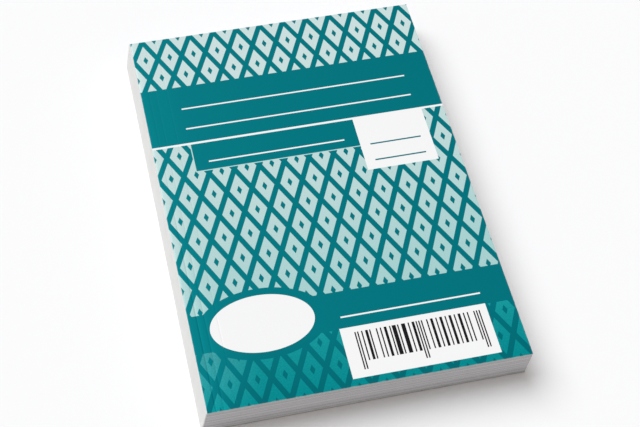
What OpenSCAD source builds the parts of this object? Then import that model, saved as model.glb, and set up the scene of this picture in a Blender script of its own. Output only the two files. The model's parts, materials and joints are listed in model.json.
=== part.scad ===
// Receipt pad: a scored card cover, a hundred small leaves, a chipboard back board
// and a film of padding glue that binds them along the left-hand long edge.
// The pad lies on its back board, +Z up, with +Y towards the head of the leaves.
// The origin is on the table under the middle of the whole pad.

/* [Leaves] */
// Width of a leaf, from its glued edge to its free edge
leaf_w = 74; // [60:1:105]
// Length of a leaf, from foot to head
leaf_l = 105; // [90:1:148]
// Thickness of the paper
leaf_t = 0.08; // [0.06:0.005:0.12]
// Air that stays between one leaf and the next
leaf_air = 0.005; // [0.004:0.001:0.01]
// Leaves at the top of the block that come off one by one
top_leaves = 10; // [1:1:20]
// Packs of leaves under them
packs = 9; // [1:1:20]
// Leaves in a pack
pack_leaves = 10; // [2:1:20]

/* [Cover] */
// Thickness of the cover card
cover_t = 0.3; // [0.2:0.02:0.5]
// Distance from the card's glued edge to the score that the cover folds on
fold_score = 2; // [1.4:0.1:3]
// Distance from the card's glued edge to the second score
second_score = 3.8; // [3.6:0.1:5]
// Distance from the card's glued edge to the third score
third_score = 6.6; // [5.6:0.1:9]
// Width of a score pressed into the card
score_w = 0.5; // [0.3:0.05:0.55]
// Depth of a score pressed into the card
score_d = 0.04; // [0.02:0.01:0.12]

/* [Back board] */
// Thickness of the chipboard
board_t = 0.6; // [0.4:0.05:1.5]

/* [Spine] */
// Thickness of the glue film on the bound edge
glue_t = 0.3; // [0.2:0.05:0.6]
// Radius of the film's long outer edges
glue_edge_r = 0.13; // [0.05:0.01:0.25]
// How much further out the spine stands at the table than at the cover
spine_lean = 1.1; // [0:0.1:2.5]

/* [Hidden] */
$fn = 48;

// Heights of the stack, from the table up
leaf_pitch = leaf_t + leaf_air;
leaf_count = top_leaves + packs * pack_leaves;
cover_z = board_t + leaf_count * leaf_pitch;
pad_t = cover_z + cover_t;

// Free edge that three-sided trimming leaves square, and glued edge on the pad's top face
free_x = (leaf_w + glue_t + spine_lean) / 2;
bound_x = free_x - leaf_w;

// The stack was glued while it leaned, so its glued edge runs out towards the table
lean_angle = atan(spine_lean / pad_t);
function bound_edge(height) = bound_x - spine_lean * (1 - height / pad_t);
function film_face(height) = bound_edge(height) - glue_t;

// The radius of the film's outer edges stays within the film
film_r = min(glue_edge_r, 0.45 * glue_t);

// Leaves are numbered from the top of the pad
function first_in_pack(pack) = top_leaves + (pack - 1) * pack_leaves + 1;
function last_in_pack(pack) = top_leaves + pack * pack_leaves;
function leaf_z(number) = cover_z - number * leaf_pitch;

// Names of the repeated nodes, such as leaf_03 and leaves_21_30
function two_digits(number) = number < 10 ? str("0", number) : str(number);
function leaf_name(number) = str("leaf_", two_digits(number));
function pack_name(pack) = str("leaves_", first_in_pack(pack), "_", last_in_pack(pack));

// A profile drawn across the pad, X to the right and Y up, swept from foot to head
module along_pad() {
    rotate([90, 0, 0])
        linear_extrude(leaf_l, center = true)
            children();
}

// End view of a sheet between two heights, from the leaning glued edge to the free edge
module sheet_profile(low, high) {
    polygon([
        [bound_edge(low), low],
        [free_x, low],
        [free_x, high],
        [bound_edge(high), high]
    ]);
}

// One score: a shallow groove pressed into the printed side of the card
module score_groove(distance) {
    translate([bound_x + distance, pad_t])
        polygon([
            [-score_w / 2, 0],
            [0, -score_d],
            [score_w / 2, 0]
        ]);
}

// End view of the whole cover card
module cover_profile() {
    difference() {
        sheet_profile(cover_z, pad_t);
        for (distance = [fold_score, second_score, third_score])
            score_groove(distance);
    }
}

// All that lies beyond the first score, where the card is loose
module beyond_fold() {
    translate([bound_x + fold_score, 0])
        square([leaf_w, 2 * pad_t]);
}

// The cover's loose flap, which folds back on the first score
module front_cover() {
    color("teal")
        along_pad()
            intersection() {
                cover_profile();
                beyond_fold();
            }
}

// The cover's edge, held in the spine on the near side of the first score
module cover_glued_strip() {
    color("darkcyan")
        along_pad()
            difference() {
                cover_profile();
                beyond_fold();
            }
}

// One trimmed leaf of paper, standing against the glue film
module leaf(number) {
    color("whitesmoke")
        along_pad()
            sheet_profile(leaf_z(number), leaf_z(number) + leaf_t);
}

// A pack of leaves from lower in the block
module leaves(pack) {
    for (number = [first_in_pack(pack) : last_in_pack(pack)])
        leaf(number);
}

// The chipboard that stiffens the pad and lies on the table
module back_board() {
    color("darkgray")
        along_pad()
            sheet_profile(0, board_t);
}

// The film of padding glue, brushed on over the edges of board, leaves and card.
// Its outer edges are arcs that run into the leaning face and into the level ends.
module spine_glue() {
    foot = [film_face(film_r) + film_r / cos(lean_angle), film_r];
    head = [film_face(pad_t - film_r) + film_r / cos(lean_angle), pad_t - film_r];
    to_face = film_r * [-cos(lean_angle), sin(lean_angle)];
    to_end = [0, film_r];
    color("white")
        along_pad()
            union() {
                polygon([
                    [bound_edge(0), 0],
                    [bound_edge(pad_t), pad_t],
                    head + to_end,
                    head + to_face,
                    foot + to_face,
                    foot - to_end
                ]);
                for (centre = [foot, head])
                    translate(centre)
                        circle(film_r);
            }
}

front_cover();
cover_glued_strip();
for (number = [1 : top_leaves])
    leaf(number);
for (pack = [1 : packs])
    leaves(pack);
back_board();
spine_glue();
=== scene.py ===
import json
import math
import random

import bpy
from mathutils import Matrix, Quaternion, Vector

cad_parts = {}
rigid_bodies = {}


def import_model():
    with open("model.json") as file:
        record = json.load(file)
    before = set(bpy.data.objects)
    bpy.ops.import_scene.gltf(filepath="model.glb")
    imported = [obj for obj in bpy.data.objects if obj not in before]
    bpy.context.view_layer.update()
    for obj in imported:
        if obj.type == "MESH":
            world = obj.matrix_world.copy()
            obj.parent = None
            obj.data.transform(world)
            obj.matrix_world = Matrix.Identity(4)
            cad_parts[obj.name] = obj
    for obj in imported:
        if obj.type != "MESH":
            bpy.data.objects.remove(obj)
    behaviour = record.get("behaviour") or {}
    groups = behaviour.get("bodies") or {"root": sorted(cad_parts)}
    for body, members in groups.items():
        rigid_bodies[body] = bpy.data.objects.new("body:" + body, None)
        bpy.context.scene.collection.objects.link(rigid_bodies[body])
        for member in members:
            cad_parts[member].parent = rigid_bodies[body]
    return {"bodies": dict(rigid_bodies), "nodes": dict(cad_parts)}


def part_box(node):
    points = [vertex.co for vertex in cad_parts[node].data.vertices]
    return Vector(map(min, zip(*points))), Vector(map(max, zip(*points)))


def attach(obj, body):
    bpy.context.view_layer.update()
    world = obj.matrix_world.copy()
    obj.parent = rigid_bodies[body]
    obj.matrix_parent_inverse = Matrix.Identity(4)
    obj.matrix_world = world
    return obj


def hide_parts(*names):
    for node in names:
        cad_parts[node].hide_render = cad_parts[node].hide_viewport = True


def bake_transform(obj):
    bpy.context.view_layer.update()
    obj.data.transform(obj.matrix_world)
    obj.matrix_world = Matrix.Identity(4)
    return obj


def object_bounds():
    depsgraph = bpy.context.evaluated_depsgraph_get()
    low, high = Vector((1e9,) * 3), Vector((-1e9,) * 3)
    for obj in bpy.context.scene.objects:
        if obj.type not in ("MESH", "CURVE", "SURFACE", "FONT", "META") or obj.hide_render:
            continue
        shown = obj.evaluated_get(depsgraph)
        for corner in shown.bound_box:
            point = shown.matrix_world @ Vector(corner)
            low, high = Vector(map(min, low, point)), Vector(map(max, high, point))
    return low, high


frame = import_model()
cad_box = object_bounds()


# Back board.
# One sheet of raw grey chipboard, pressed from waste paper, so that its face is flecked with fibres.
# It carries the leaves and is trimmed with them, which leaves its edges a little crushed.

MM = 0.001
CRUSHED_EDGE = 0.06 * MM
SQUARE_EDGE = math.radians(60)
SOFT_EDGE_STEPS = 2


def add_block(name, low, high):
    """A block between two corners, with its place in its mesh."""
    bpy.ops.object.select_all(action="DESELECT")
    bpy.ops.mesh.primitive_cube_add(size=1, location=(low + high) / 2)
    block = bpy.context.object
    block.name = name
    block.scale = high - low
    bpy.ops.object.transform_apply(location=True, rotation=True, scale=True)
    return block


def soften_edges(piece, width):
    """Round the square edges of a piece over a small width."""
    bevel = piece.modifiers.new("soft edges", "BEVEL")
    bevel.width = width
    bevel.segments = SOFT_EDGE_STEPS
    bevel.limit_method = "ANGLE"
    bevel.angle_limit = SQUARE_EDGE
    bpy.ops.object.modifier_apply(modifier=bevel.name)


board_low, board_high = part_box("back_board")
leaf_low, leaf_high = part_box("leaf_01")
spine_slope = (leaf_low.x - board_low.x) / (leaf_low.z - board_low.z)


def set_to_spine(sheet, square_edge):
    """Move the glued side of a sheet that was made square to the line of the leaning spine."""
    for vertex in sheet.data.vertices:
        if vertex.co.x < 0:
            spine_line = board_low.x + spine_slope * (vertex.co.z - board_low.z)
            vertex.co.x += spine_line - square_edge


back_board = add_block("chipboard_back", board_low, board_high)
soften_edges(back_board, CRUSHED_EDGE)
set_to_spine(back_board, board_low.x)

CHIPBOARD_GREY = (0.37, 0.36, 0.345, 1)
CHIPBOARD_PALE = (0.47, 0.46, 0.44, 1)
CHIPBOARD_FIBRE = (0.60, 0.585, 0.56, 1)
CHIPBOARD_SPECK = (0.13, 0.12, 0.11, 1)
FIBRES_SHOW = 0.6
SPECKS_SHOW = 0.7
SPECK_SPACING = 1.1 * MM
SPECK_SIZE = 0.2


class Shade:
    """A socket in a material's nodes. Arithmetic on it adds Math nodes, and node() adds any other."""

    def __init__(self, tree, socket=None):
        self.tree = tree
        self.socket = socket

    def node(self, kind, settings=None, inputs=None, output=0):
        """Add a node: its settings are set first, then its sockets get their values or links."""
        made = self.tree.nodes.new(kind)
        for name, value in (settings or {}).items():
            if name == "stops":
                while len(made.color_ramp.elements) < len(value):
                    made.color_ramp.elements.new(1)
                for stop, (position, colour) in zip(made.color_ramp.elements, value):
                    stop.position = position
                    stop.color = colour
            else:
                setattr(made, name, value)
        for name, value in (inputs or {}).items():
            if isinstance(value, Shade):
                self.tree.links.new(value.socket, made.inputs[name])
            else:
                made.inputs[name].default_value = value
        return Shade(self.tree, made.outputs[output] if made.outputs else None)

    def maths(self, operation, *values):
        """Add a Math node on some values."""
        return self.node("ShaderNodeMath", {"operation": operation}, dict(enumerate(values)))

    def __add__(self, other):
        return self.maths("ADD", self, other)

    def __sub__(self, other):
        return self.maths("SUBTRACT", self, other)

    def __rsub__(self, other):
        return self.maths("SUBTRACT", other, self)

    def __mul__(self, other):
        return self.maths("MULTIPLY", self, other)

    def __truediv__(self, other):
        return self.maths("DIVIDE", self, other)

    def __rtruediv__(self, other):
        return self.maths("DIVIDE", other, self)

    def __pow__(self, other):
        return self.maths("POWER", self, other)

    def __rpow__(self, other):
        return self.maths("POWER", other, self)

    def __and__(self, other):
        return self.maths("MINIMUM", self, other)

    def __or__(self, other):
        return self.maths("MAXIMUM", self, other)

    def __gt__(self, other):
        return self.maths("GREATER_THAN", self, other)

    def __lt__(self, other):
        return self.maths("LESS_THAN", self, other)

    def __abs__(self):
        return self.maths("ABSOLUTE", self)

    __radd__ = __add__
    __rmul__ = __mul__
    __rand__ = __and__
    __ror__ = __or__


def new_finish(name, uv_map=None):
    """A material with no nodes yet but its place on the piece: Object coordinates, or a UV map."""
    material = bpy.data.materials.new(name)
    material.use_nodes = True
    material.node_tree.nodes.clear()
    start = Shade(material.node_tree)
    if uv_map:
        return material, start.node("ShaderNodeUVMap", {"uv_map": uv_map})
    return material, start.node("ShaderNodeTexCoord", output="Object")


def along(place, axis):
    """One coordinate of a place."""
    return place.node("ShaderNodeSeparateXYZ", inputs={0: place}, output=axis)


def mix(factor, first, second):
    """The first colour where the factor is 0, the second where it is 1."""
    return factor.node("ShaderNodeMix", {"data_type": "RGBA"}, {0: factor, 6: first, 7: second}, 2)


def ramp(value, start, end):
    """An even rise from 0 at one value to 1 at another, which may be the lower of the two."""
    return value.node("ShaderNodeMapRange", inputs={0: value, 1: start, 2: end})


def noise(place, scale, stretch=(1, 1, 1), detail=4.0, roughness=0.55):
    """Cloudy variation about 0.5. Stretch says how fine it is along each axis."""
    spread = place.node("ShaderNodeMapping", inputs={"Vector": place, "Scale": stretch})
    clouds = {"Vector": spread, "Scale": scale, "Detail": detail, "Roughness": roughness}
    return place.node("ShaderNodeTexNoise", inputs=clouds)


def finish_surface(colour, roughness, height, bump, specular):
    """The surface of a material. Bump is how high a full step in its height pattern stands, in metres."""
    normal = colour.node("ShaderNodeBump", inputs={"Strength": 1.0, "Distance": bump, "Height": height})
    finish = {
        "Base Color": colour,
        "Roughness": roughness,
        "Normal": normal,
        "Specular IOR Level": specular,
    }
    surface = colour.node("ShaderNodeBsdfPrincipled", inputs=finish)
    colour.node("ShaderNodeOutputMaterial", inputs={"Surface": surface})


chipboard, place = new_finish("raw_chipboard")
pulp = noise(place, scale=260)
fibres_across = noise(place, scale=700, stretch=(1, 6, 6), roughness=0.7)
fibres_down = noise(place, scale=700, stretch=(6, 1, 6), roughness=0.7)
fibres = fibres_across | fibres_down
cells = {"Vector": place, "Scale": 1 / SPECK_SPACING}
from_speck = place.node("ShaderNodeTexVoronoi", inputs=cells, output="Distance")
speck_size = along(place.node("ShaderNodeTexVoronoi", inputs=cells, output="Color"), "X") * SPECK_SIZE
colour = mix(ramp(pulp, 0.25, 0.75), CHIPBOARD_GREY, CHIPBOARD_PALE)
colour = mix(ramp(fibres, 0.6, 0.75) * FIBRES_SHOW, colour, CHIPBOARD_FIBRE)
colour = mix((from_speck < speck_size) * SPECKS_SHOW, colour, CHIPBOARD_SPECK)
finish_surface(
    colour,
    roughness=0.8 + pulp * 0.2,
    height=pulp * 0.5 + fibres * 0.5,
    bump=0.02 * MM,
    specular=0.2,
)

back_board.data.materials.append(chipboard)
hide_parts("back_board")
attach(back_board, "pad")


# Leaves.
# A hundred sheets of white printing paper, glued as a leaning stack and then trimmed on three sides.
# Each has shifted a few hundredths of a millimetre since, and has a ruled form on its face.

CORNER_ROUND = 0.18 * MM
CORNER_STEPS = 3
SHIFT = 0.03 * MM
SHIFT_KEPT = 0.8


def pick(piece, kind, test):
    """Go to edit mode with those vertices or edges selected whose middle passes a test."""
    bpy.ops.object.mode_set(mode="EDIT")
    bpy.ops.mesh.select_mode(type=kind)
    bpy.ops.mesh.select_all(action="DESELECT")
    bpy.ops.object.mode_set(mode="OBJECT")
    mesh = piece.data
    for part in mesh.vertices if kind == "VERT" else mesh.edges:
        ends = [part.index] if kind == "VERT" else part.vertices
        middle = sum((mesh.vertices[end].co for end in ends), Vector()) / len(ends)
        part.select = test(middle)
    bpy.ops.object.mode_set(mode="EDIT")


leaf_pitch = leaf_low.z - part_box("leaf_02")[0].z
leaf_middle = (leaf_low.z + leaf_high.z) / 2
first_leaf = add_block("leaf", leaf_low, leaf_high)
pick(first_leaf, "EDGE", lambda middle: abs(middle.z - leaf_middle) < leaf_pitch / 4)
bpy.ops.mesh.bevel(offset=CORNER_ROUND, segments=CORNER_STEPS, affect="EDGES")
bpy.ops.object.mode_set(mode="OBJECT")

# The paper, and the form on it in millimetres from the leaf's glued edge and from its head
PAPER_WHITE = (0.84, 0.835, 0.82, 1)
PAPER_CLOUD = (0.72, 0.715, 0.70, 1)
CLOUDS_SHOW = 0.25
FORM_INK = (0.10, 0.33, 0.35, 1)
FORM_TINT = (0.66, 0.77, 0.77, 1)
INK_SHOWS = 0.85
TINT_SHOWS = 0.35
FORM_MARGIN = 6.0
FORM_HEAD = 14.0
FORM_ROW = 6.5
FORM_ROWS = 8
FORM_AMOUNT = 20.0
TABLE_BELOW_HEAD = 13.0
TOTAL_BELOW_TABLE = 10.4
NAME_BELOW_TABLE = 20.8
FINE_LINE = 0.22
BOLD_LINE = 0.35


def between(value, low, high):
    """1 where a value lies between two limits, 0 elsewhere."""
    return (value > low) & (value < high)


def in_box(across, down, left, top, right, bottom):
    """1 inside a box on a sheet, 0 outside it."""
    return between(across, left, right) & between(down, top, bottom)


def box_line(across, down, left, top, right, bottom):
    """The outline of a box, drawn inside it with the bold line."""
    inner = in_box(across, down, left + BOLD_LINE, top + BOLD_LINE, right - BOLD_LINE, bottom - BOLD_LINE)
    return in_box(across, down, left, top, right, bottom) - inner


def part_of(value):
    """What a value has beyond the whole number below it."""
    return value.maths("FRACT", value)


def ruled_form(place, paper):
    """A heading box, a table with a tinted column for amounts, and three lines, printed on the paper."""
    across = along(place, "X") / MM - leaf_low.x / MM
    down = leaf_high.y / MM - along(place, "Y") / MM
    right = (leaf_high.x - leaf_low.x) / MM - FORM_MARGIN
    head_bottom = FORM_MARGIN + FORM_HEAD
    table_top = head_bottom + TABLE_BELOW_HEAD
    table_bottom = table_top + FORM_ROW * FORM_ROWS
    amount_left = right - FORM_AMOUNT
    in_width = between(across, FORM_MARGIN, right)
    in_table = in_width & between(down, table_top, table_bottom)
    drawn = in_table & (part_of((down - table_top) / FORM_ROW) < FINE_LINE / FORM_ROW)
    drawn = drawn | (in_table & between(across, amount_left, amount_left + FINE_LINE))
    drawn = drawn | box_line(across, down, FORM_MARGIN, table_top, right, table_bottom)
    drawn = drawn | box_line(across, down, FORM_MARGIN, FORM_MARGIN, right, head_bottom)
    for line in (table_top - FORM_ROW, table_bottom + TOTAL_BELOW_TABLE, table_bottom + NAME_BELOW_TABLE):
        drawn = drawn | (in_width & between(down, line, line + FINE_LINE))
    colour = mix((in_table & (across > amount_left)) * TINT_SHOWS, paper, FORM_TINT)
    return mix(drawn * INK_SHOWS, colour, FORM_INK)


def new_paper(name, print_on=None):
    """A material of uncoated paper, cloudy to look through, with a print on it where one is given."""
    material, place = new_finish(name)
    clouds = noise(place, scale=420)
    fibres = noise(place, scale=3200, stretch=(1, 3, 1), detail=5.0, roughness=0.7)
    colour = mix(ramp(clouds, 0.3, 0.75) * CLOUDS_SHOW, PAPER_WHITE, PAPER_CLOUD)
    if print_on:
        colour = print_on(place, colour)
    height = fibres * 0.6 + clouds * 0.4
    finish_surface(colour, roughness=0.88, height=height, bump=0.004 * MM, specular=0.2)
    return material


leaf_form = new_paper("leaf_with_ruled_form", ruled_form)
leaf_back = new_paper("leaf_back")

# The trimmed edges, where leaves show in faint darker bundles that are partly painted shade of leaves
# sitting back, and each has its own tone
TRIM_WHITE = (0.648, 0.642, 0.66, 1)
TRIM_GREY = (0.422, 0.418, 0.434, 1)
TRIM_CLEAN = 0.2
BUNDLE = 1.0 * MM
BUNDLE_WANDER = 14
BUNDLES_SHOW = 0.7
LEAVES_SHOW = 0.7
DRAWS_APART = 100


def lot(value, number):
    """A lot drawn once for each whole number, from 0 to 1. The number picks one of several draws."""
    whole = value.maths("FLOOR", value) + number * DRAWS_APART
    return value.node("ShaderNodeTexWhiteNoise", {"noise_dimensions": "1D"}, {"W": whole})


leaf_trim, place = new_finish("leaf_trimmed_edge")
height = along(place, "Z")
wander = noise(place, scale=500, stretch=(0.02, 0.02, 1), detail=1.0) * BUNDLE_WANDER
bundles = height.maths("SINE", height * (2 * math.pi / BUNDLE) + wander) * 0.5 + 0.5
leaf_shade = lot((leaf_high.z - height) / leaf_pitch, 0)
cut_fibres = noise(place, scale=5200, detail=3.0)
finish_surface(
    mix(bundles * BUNDLES_SHOW + leaf_shade * LEAVES_SHOW - TRIM_CLEAN, TRIM_WHITE, TRIM_GREY),
    roughness=0.9,
    height=bundles * 0.7 + cut_fibres * 0.3,
    bump=0.02 * MM,
    specular=0.15,
)

# The stack, laid leaf by leaf from the top
FACES_UP = 0.7


def set_finishes(sheet, side, face_up, face_down):
    """Give a sheet one finish on its sides, one on its upper face and one on its lower face."""
    for material in (side, face_up, face_down):
        sheet.data.materials.append(material)
    for face in sheet.data.polygons:
        face.material_index = 1 if face.normal.z > FACES_UP else 2 if face.normal.z < -FACES_UP else 0


def lay_leaf(number, shift):
    """A copy of the first leaf at its height in the stack, a little out of line with it."""
    leaf = first_leaf.copy()
    leaf.data = first_leaf.data.copy()
    bpy.context.collection.objects.link(leaf)
    leaf.location = shift - Vector((0, 0, (number - 1) * leaf_pitch))
    bpy.ops.object.select_all(action="DESELECT")
    leaf.select_set(True)
    bpy.context.view_layer.objects.active = leaf
    bpy.ops.object.transform_apply(location=True, rotation=True, scale=True)
    set_to_spine(leaf, leaf_low.x)
    return leaf


def numbers_in(node):
    """The numbers of the leaves in a node such as leaf_03 or leaves_21_30."""
    ends = [int(number) for number in node.split("_")[1:]]
    return range(ends[0], ends[-1] + 1)


set_finishes(first_leaf, leaf_trim, leaf_form, leaf_back)
leaf_nodes = [node for node in frame["nodes"] if node.startswith(("leaf_", "leaves_"))]
draw = random.Random(12)
shift = Vector()
for node in sorted(leaf_nodes, key=lambda node: numbers_in(node)[0]):
    laid = []
    for number in numbers_in(node):
        step = Vector((draw.uniform(0, 1), draw.uniform(-1, 1), 0)) * SHIFT
        shift = shift * SHIFT_KEPT + step * (1 - SHIFT_KEPT)
        laid.append(lay_leaf(number, shift))
    if len(laid) > 1:
        for leaf in laid:
            leaf.select_set(True)
        bpy.ops.object.join()
    paper = bpy.context.object
    paper.name = f"paper_{node}"
    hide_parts(node)
    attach(paper, node if node in frame["bodies"] else "pad")
bpy.data.objects.remove(first_leaf)


# Front cover.
# One sheet of white-lined card, offset printed in teal on its outer face and varnished.
# Three scores are pressed along its glued edge, and it folds back on the first of them.

SCORE_WIDTH = 0.5 * MM
SCORE_DEPTH = 0.04 * MM
SECOND_SCORE = 3.8 * MM
THIRD_SCORE = 6.6 * MM
CARD_EDGE = 0.03 * MM
FOLD_REACH = 0.6 * MM
FOLD_CUTS = 8
CUT_NEAR = 0.001 * MM
CRISP_SCORE = math.radians(5)
TO_FREE_EDGE = Vector((1, 0, 0))

card_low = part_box("cover_glued_strip")[0]
card_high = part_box("front_cover")[1]
fold_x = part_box("front_cover")[0].x
card_width = (card_high.x - card_low.x) / MM
card_length = (card_high.y - card_low.y) / MM
scores = [fold_x, card_low.x + SECOND_SCORE, card_low.x + THIRD_SCORE]


def cut_at(distances, direction):
    """Cut the piece in edit mode right through, at each distance along a direction."""
    for distance in distances:
        bpy.ops.mesh.select_all(action="SELECT")
        bpy.ops.mesh.bisect(plane_co=direction * distance, plane_no=direction, threshold=CUT_NEAR)


cover = add_block("cover_card", card_low, card_high)
soften_edges(cover, CARD_EDGE)
bpy.ops.object.mode_set(mode="EDIT")
cut_at([score + side * SCORE_WIDTH / 2 for score in scores for side in (-1, 0, 1)], TO_FREE_EDGE)
printed_skin = card_high.z - CARD_EDGE - CUT_NEAR
for score in scores:
    pick(cover, "VERT", lambda point: abs(point.x - score) < CUT_NEAR and point.z > printed_skin)
    bpy.ops.transform.translate(value=(0, 0, -SCORE_DEPTH))
bpy.ops.mesh.select_mode(type="FACE")
cut_at([fold_x + FOLD_REACH * cut / FOLD_CUTS for cut in range(1, FOLD_CUTS + 1)], TO_FREE_EDGE)
bpy.ops.object.mode_set(mode="OBJECT")
set_to_spine(cover, card_low.x)
bpy.ops.object.shade_smooth_by_angle(angle=CRISP_SCORE)
print_map = cover.data.uv_layers.new(name="print")
for loop in cover.data.loops:
    point = (cover.data.vertices[loop.vertex_index].co - card_low) / MM / card_length
    print_map.data[loop.index].uv = (point.x, point.y)

# Where the print lies, in millimetres from the card's glued edge and from its head
TITLE_TOP = 16.2
RULE_TOP = 33.7
RULE_BOTTOM = 34.3
TAB_LEFT = 9.3
TAB_RIGHT = 50.5
TAB_BOTTOM = 42.6
TAB_LINE = 0.25
PANEL_RIGHT = 68.4
PANEL_BOTTOM = 49.8
BAND_TOP = 81.2
BAND_BOTTOM = 90.8
OVAL_ACROSS = 16.4
OVAL_DOWN = 85.8
OVAL_HALF_WIDTH = 12.0
OVAL_HALF_HEIGHT = 7.2
OVAL_MARGIN = 1.24
BARS_LEFT = 33.0
BARS_TOP = 90.6
BARS_RIGHT = 67.3
BARS_BOTTOM = 103.2

printed_face, place = new_finish("printed_cover_face", "print")
across = along(place, "X") * card_length
down = card_length - along(place, "Y") * card_length
title = between(down, TITLE_TOP, RULE_BOTTOM)
rule = between(down, RULE_TOP, RULE_BOTTOM)
tab = in_box(across, down, TAB_LEFT, RULE_TOP, TAB_RIGHT, TAB_BOTTOM)
tab_face = (across > TAB_LEFT + TAB_LINE) & (down < TAB_BOTTOM - TAB_LINE)
panel = in_box(across, down, TAB_RIGHT, RULE_TOP, PANEL_RIGHT, PANEL_BOTTOM)
band = between(down, BAND_TOP, BAND_BOTTOM)
in_foot = down > BAND_BOTTOM
oval_x = (across - OVAL_ACROSS) / OVAL_HALF_WIDTH
oval_y = (down - OVAL_DOWN) / OVAL_HALF_HEIGHT
from_oval = oval_x * oval_x + oval_y * oval_y
bar_panel = in_box(across, down, BARS_LEFT, BARS_TOP, BARS_RIGHT, BARS_BOTTOM)

# Lozenges in two tints on a dark ground, all of them deeper towards the foot
LOZENGE_WIDTH = 6.2
LOZENGE_HEIGHT = 12.4
LOZENGE_RIB = 0.24
LOZENGE_EYE = 0.2
TEAL = (0.0004, 0.168, 0.199, 1)
TEAL_PAINTED_LIGHT_AT_SPINE = (0.001, 0.208, 0.240, 1)
TEAL_AT_FOOT = (0.0005, 0.141, 0.166, 1)
SPINE_CURVE = 0.4
FOOT_CURVE = 0.7
PALE_HEAD = (0.60, 0.745, 0.73, 1)
PALE_MIDDLE = (0.505, 0.695, 0.68, 1)
PALE_LOW = (0.39, 0.635, 0.625, 1)
PALE_STOPS = ((0.08, PALE_HEAD), (0.5, PALE_MIDDLE), (0.75, PALE_LOW))
PALE_LEAN = 0.15
PALE_LEVEL = 40
FOOT_TINT_NEAR_SPINE = (0.053, 0.335, 0.355, 1)
FOOT_TINT_HIGH = (0.0095, 0.322, 0.337, 1)
FOOT_TINT_LOW = (0.001, 0.248, 0.266, 1)
FOOT_TINT_CURVE = 0.6
FOOT_PALE_FULL = 5
FOOT_PALE_END = 13
PALE_GRAIN = 0.24
FOOT_GRAIN = 0.7


def flanks(value):
    """A wave with straight flanks, 1 at whole numbers and 0 halfway between them."""
    return abs(part_of(value) * 2 - 1)


def lozenges(across, down):
    """1 on the lozenges of a half-drop pattern, and 0 on the ribs between them and on their eyes."""
    from_rib = abs(flanks(across / LOZENGE_WIDTH) + flanks(down / LOZENGE_HEIGHT) - 1)
    return between(from_rib, LOZENGE_RIB, 1 - LOZENGE_EYE)


def at_value(colour, value):
    """A colour made lighter or darker by a value about 1."""
    return colour.node("ShaderNodeHueSaturation", inputs={"Color": colour, "Value": value})


to_foot = ramp(down, BAND_BOTTOM, card_length)
# Painted light: the ground is drawn lighter towards the glued edge, on the lamp's side
ground = mix(ramp(across, THIRD_SCORE / MM, card_width) ** SPINE_CURVE, TEAL_PAINTED_LIGHT_AT_SPINE, TEAL)
ground = mix(to_foot ** FOOT_CURVE, ground, TEAL_AT_FOOT)
pale_place = (down + (across - PALE_LEVEL) * PALE_LEAN) / card_length
pale = place.node("ShaderNodeValToRGB", {"stops": PALE_STOPS}, {0: pale_place})
foot_pale = ramp(across, FOOT_PALE_END, FOOT_PALE_FULL)
foot_tint = mix(foot_pale, FOOT_TINT_HIGH, FOOT_TINT_NEAR_SPINE)
foot_tint = mix(to_foot ** FOOT_TINT_CURVE, foot_tint, FOOT_TINT_LOW)
screen = noise(place, scale=330, detail=2.0)
grain = (screen - 0.5) * (PALE_GRAIN + in_foot * (FOOT_GRAIN - PALE_GRAIN))
tint = at_value(mix(in_foot, pale, foot_tint), 1 + grain)
colour = mix(lozenges(across, down), ground, tint)
colour = mix(title | band | (from_oval < OVAL_MARGIN * OVAL_MARGIN), colour, ground)
colour = mix(tab, colour, mix(tab_face, pale, ground))

# Painted light along the glued edge, painted highlights beside the creases, and a lighter near corner of
# the foot
EDGE_PAINTED_LIGHT = ((2.0, 0.09), (0.5, 0.2))
FOOT_CORNER_LIGHTER = 0.17
FOOT_CORNER_FULL = 97
CREASE_FADE = 1.4
CREASE_PAINTED_HIGHLIGHT = (0.15, 0.1, 0)
CREASE_SHADING_FROM = 35
CREASE_SHADING_FULL = 85

crease_shading = ramp(down, CREASE_SHADING_FROM, CREASE_SHADING_FULL)
past_creases = [across - (score - card_low.x) / MM for score in scores]
# The colour is also made lighter in the near corner of the foot
painted_light_and_pale_corner = ramp(down, BAND_BOTTOM, FOOT_CORNER_FULL) * foot_pale * FOOT_CORNER_LIGHTER
# Painted light: the strip along the glued edge and its rounded rim are drawn lighter, as if turned to the
# lamp
for reach, thin_glue_and_edge_light in EDGE_PAINTED_LIGHT:
    painted_light_and_pale_corner = painted_light_and_pale_corner + ramp(across, reach, 0) * thin_glue_and_edge_light
# Painted highlight on the flank past each crease that faces the lamp, stronger towards the foot
for past, wear_and_highlight in zip(past_creases, CREASE_PAINTED_HIGHLIGHT):
    painted_light_and_pale_corner = painted_light_and_pale_corner + (past > 0) * ramp(past, CREASE_FADE, 0) * crease_shading * wear_and_highlight
colour = at_value(colour, 1 + painted_light_and_pale_corner)

# Bare white card, with plain bars drawn by lot on its panel, and the writing lines
CARD_WHITE = (0.925, 0.925, 0.92, 1)
BAR_BLACK = (0.012, 0.012, 0.014, 1)
BAR_MARGIN = 3.1
BAR_STEP = 0.31
BAR_STEPS = 95
BAR_FROM = 1.4
BAR_TO = 8.8
GUARD_TO = 10.8
END_GUARD = 3
MIDDLE_GUARD = 5
STEPS_IN_GROUP = 7
BAR_LATE = 0.5
BAR_WIDE = 0.5
LAST_BAR_DOUBLE = 0.4
LAST_BAR_TRIPLE = 0.75
WRITING_LINE = 0.4
WRITING_LINES = (
    (9.3, 67, 23.4, CARD_WHITE),
    (9.3, 67, 29.6, CARD_WHITE),
    (13, 47, 40.2, CARD_WHITE),
    (34, 67, 88, CARD_WHITE),
    (53, 65.9, 42.6, TEAL),
    (53, 65.9, 47.4, TEAL),
)


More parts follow.
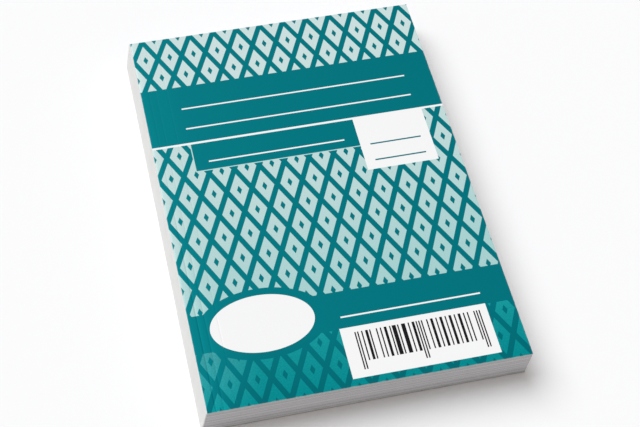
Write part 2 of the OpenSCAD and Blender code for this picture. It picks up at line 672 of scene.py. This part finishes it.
def plain_bars(across, down):
    """Groups of two bars, mirrored in the right half, with longer guards at the ends and the middle."""
    step = (across - BARS_LEFT - BAR_MARGIN) / BAR_STEP
    right_half = step > BAR_STEPS / 2
    end_guard = (step < END_GUARD) | (step > BAR_STEPS - END_GUARD)
    guard = end_guard | (abs(step - BAR_STEPS / 2) < MIDDLE_GUARD / 2)
    guard_bar = guard & (part_of(step / 2) < 0.5) & (down < BARS_TOP + GUARD_TO)
    group = (step - END_GUARD - right_half * MIDDLE_GUARD) / STEPS_IN_GROUP
    group_step = part_of(group) * STEPS_IN_GROUP
    group_step = group_step + right_half * (STEPS_IN_GROUP - group_step * 2)
    late = lot(group, 0) > BAR_LATE
    wide = lot(group, 1) > BAR_WIDE
    last_lot = lot(group, 2)
    first_bar = between(group_step, 1 + late, 2 + (late | wide))
    last_bar_width = 1 + (last_lot > LAST_BAR_DOUBLE) + (last_lot > LAST_BAR_TRIPLE)
    last_bar = group_step > STEPS_IN_GROUP - last_bar_width
    group_bar = (first_bar | last_bar) & (1 - guard) & (down < BARS_TOP + BAR_TO)
    return (guard_bar | group_bar) & between(step, 0, BAR_STEPS) & (down > BARS_TOP + BAR_FROM)


colour = mix((from_oval < 1) | panel | bar_panel | rule, colour, CARD_WHITE)
colour = mix(plain_bars(across, down), colour, BAR_BLACK)
for left, right, line, ink in WRITING_LINES:
    colour = mix(in_box(across, down, left, line - WRITING_LINE, right, line), colour, ink)

# Painted shade in the creases, edges that have rubbed pale, and the grain of ink and card
CREASE = 0.25
CREASE_PAINTED_SHADE = (0.18, 0.06, 0.01)
WORN_EDGE = 0.2
WORN_SHOWS = 0.3
INK_UNEVEN = 0.12

# Painted shade: a dark line in each crease, on the flank turned from the lamp
for past, dark in zip(past_creases, CREASE_PAINTED_SHADE):
    colour = at_value(colour, 1 - ramp(abs(past + CREASE / 2), CREASE, 0) * crease_shading * dark)
from_edge = across & (card_width - across) & down & (card_length - down)
wear_and_highlight = ramp(from_edge, WORN_EDGE, 0) * ramp(noise(place, scale=60), 0.45, 0.7)
colour = mix(wear_and_highlight * WORN_SHOWS, colour, CARD_WHITE)
ink_grain = noise(place, scale=900, detail=3.0)
card_grain = noise(place, scale=160, detail=5.0)
finish_surface(
    at_value(colour, 1 + (ink_grain - 0.5) * INK_UNEVEN),
    roughness=0.45 + card_grain * 0.12,
    height=card_grain * 0.6 + ink_grain * 0.4,
    bump=0.004 * MM,
    specular=0.015,
)

# The bare inside of the card, and its cut edges
CARD_INSIDE = (0.78, 0.775, 0.755, 1)
CARD_CORE = (0.70, 0.695, 0.68, 1)
CORE_SHOWS = 0.4
CARD_CUT = (0.62, 0.62, 0.615, 1)
CARD_CUT_GREY = (0.5, 0.5, 0.495, 1)

card_inside, place = new_finish("cover_inside", "print")
clouds = noise(place, scale=45)
fibres = noise(place, scale=340, stretch=(1, 3, 1), detail=5.0, roughness=0.7)
colour = mix(ramp(clouds, 0.3, 0.75) * CORE_SHOWS, CARD_INSIDE, CARD_CORE)
finish_surface(colour, roughness=0.85, height=fibres, bump=0.006 * MM, specular=0.2)

card_cut, place = new_finish("cover_cut_edge")
plies = noise(place, scale=9000, stretch=(0.02, 0.02, 1), detail=3.0)
colour = mix(ramp(plies, 0.35, 0.7), CARD_CUT, CARD_CUT_GREY)
finish_surface(colour, roughness=0.9, height=plies, bump=0.01 * MM, specular=0.15)

set_finishes(cover, card_cut, printed_face, card_inside)
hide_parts("front_cover", "cover_glued_strip")
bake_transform(cover)


# Spine glue.
# A film of white padding glue, brushed over the edges of board, leaves and card to bind them.
# It dries to a soft skin, a little uneven, with faint brush strokes and the lines of the leaves.

FILM = 0.3 * MM
FILM_ROUND = 0.13 * MM
FILM_ROUND_STEPS = 4
FILM_LENGTHS = 70
FILM_LAYERS = 10
FILM_UNEVEN = 0.08 * MM
FILM_SWELL = 4 * MM
FILM_LEVEL = 0.3
FILM_SMOOTH = math.radians(40)
TO_HEAD = Vector((0, 1, 0))
UP = Vector((0, 0, 1))

film_low = Vector((board_low.x - FILM, board_low.y, board_low.z))
film_high = Vector((board_low.x, board_high.y, card_high.z))
film_size = film_high - film_low
spine = add_block("glue_film", film_low, film_high)
pick(spine, "EDGE", lambda middle: middle.x < film_low.x + FILM_ROUND
     and min(middle.z - film_low.z, film_high.z - middle.z) < FILM_ROUND)
bpy.ops.mesh.bevel(offset=FILM_ROUND, segments=FILM_ROUND_STEPS, affect="EDGES")
cut_at([film_low.y + film_size.y * cut / FILM_LENGTHS for cut in range(1, FILM_LENGTHS)], TO_HEAD)
cut_at([film_low.z + film_size.z * cut / FILM_LAYERS for cut in range(1, FILM_LAYERS)], UP)
bpy.ops.object.mode_set(mode="OBJECT")
outer = [vertex.index for vertex in spine.data.vertices if vertex.co.x < film_low.x + FILM_ROUND / 2]
skin = spine.vertex_groups.new(name="skin")
skin.add(outer, 1.0, "ADD")
swells = bpy.data.textures.new("glue_swells", "CLOUDS")
swells.noise_scale = FILM_SWELL
uneven = spine.modifiers.new("uneven skin", "DISPLACE")
uneven.texture = swells
uneven.direction = "X"
uneven.mid_level = FILM_LEVEL
uneven.strength = FILM_UNEVEN
uneven.vertex_group = skin.name
bpy.ops.object.modifier_apply(modifier=uneven.name)
set_to_spine(spine, board_low.x)
bpy.ops.object.shade_smooth_by_angle(angle=FILM_SMOOTH)

GLUE_WHITE = (0.741, 0.739, 0.722, 1)
GLUE_THIN = (0.664, 0.661, 0.647, 1)
POOLS_SHOW = 0.25
LINES_SHOW = 0.5
STROKES_SHOW = 0.25
LEAVES_IN_LINE = 2

padding_glue, place = new_finish("dried_padding_glue")
pools = noise(place, scale=160, detail=3.0)
lines_to_metre = 1 / (LEAVES_IN_LINE * leaf_pitch)
leaf_lines = noise(place, scale=lines_to_metre, stretch=(0.001, 0.004, 1), detail=2.0)
strokes = noise(place, scale=1500, stretch=(1, 0.08, 1), detail=5.0, roughness=0.6)
thin_glue_and_edge_light = ramp(pools, 0.35, 0.7) * POOLS_SHOW + ramp(leaf_lines, 0.45, 0.7) * LINES_SHOW
thin_glue_and_edge_light = thin_glue_and_edge_light + ramp(strokes, 0.5, 0.7) * STROKES_SHOW
finish_surface(
    mix(thin_glue_and_edge_light, GLUE_WHITE, GLUE_THIN),
    roughness=0.45 + pools * 0.2,
    height=strokes * 0.5 + leaf_lines * 0.5,
    bump=0.02 * MM,
    specular=0.3,
)

spine.data.materials.append(padding_glue)
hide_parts("spine_glue")
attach(spine, "pad")


# Table, light and camera.
# The pad lies on a plain white sweep, under one broad lamp behind its left shoulder in a white room.
# The camera looks down on it from the front, a little to the left.

TABLE_SPAN = 8.0
TABLE_WHITE = (0.975, 0.975, 0.975, 1)
TABLE_CLOUD = (0.97, 0.97, 0.97, 1)

bpy.ops.object.select_all(action="DESELECT")
bpy.ops.mesh.primitive_plane_add(size=TABLE_SPAN, location=(0, 0, cad_box[0].z))
table = bpy.context.object
table.name = "table"
bpy.ops.object.transform_apply(location=True, rotation=True, scale=True)
sweep, place = new_finish("white_sweep")
clouds = noise(place, scale=30)
colour = mix(clouds, TABLE_WHITE, TABLE_CLOUD)
finish_surface(colour, roughness=0.9, height=clouds, bump=0.01 * MM, specular=0.1)
table.data.materials.append(sweep)

LAMP_FROM = Vector((-0.48, 0.6, 1.0))
LAMP_STRENGTH = 2.4
LAMP_TINT = (0.967, 1, 1.033)
LAMP_SPREAD = math.radians(50)

bpy.ops.object.light_add(type="SUN", rotation=LAMP_FROM.to_track_quat("Z", "Y").to_euler())
lamp = bpy.context.object
lamp.data.energy = LAMP_STRENGTH
lamp.data.angle = LAMP_SPREAD
lamp.data.color = LAMP_TINT

ROOM_LIGHT = 0.39
ROOM_TINT = (1.045, 1, 0.968, 1)
ROOM_WHITE = (1, 1, 1, 1)

room = bpy.data.worlds.new("white_room")
room.use_nodes = True
room.node_tree.nodes.clear()
start = Shade(room.node_tree)
seen = start.node("ShaderNodeLightPath", output="Is Camera Ray")
seen = seen | start.node("ShaderNodeLightPath", output="Is Glossy Ray")
seen = seen | start.node("ShaderNodeLightPath", output="Is Transmission Ray")
glow = {"Color": mix(seen, ROOM_TINT, ROOM_WHITE), "Strength": ROOM_LIGHT + seen * (1 - ROOM_LIGHT)}
background = start.node("ShaderNodeBackground", inputs=glow)
start.node("ShaderNodeOutputWorld", inputs={"Surface": background})
bpy.context.scene.world = room
bpy.context.scene.view_settings.view_transform = "Standard"

EYE = Vector((-57.6, -164.1, 267.6)) * MM
AIM = Vector((-16.8, 2.0, 0)) * MM
ROLL = math.radians(2.39)
LENS = 72.7
SENSOR = 36
LENS_SHIFT = 0.12
NEAREST_SEEN = 10 * MM

level = (AIM - EYE).to_track_quat("-Z", "Y")
bpy.ops.object.camera_add(location=EYE, rotation=(level @ Quaternion(UP, ROLL)).to_euler())
camera = bpy.context.object
camera.data.sensor_width = SENSOR
camera.data.lens = LENS
camera.data.shift_x = LENS_SHIFT
camera.data.clip_start = NEAREST_SEEN
bpy.context.scene.camera = camera
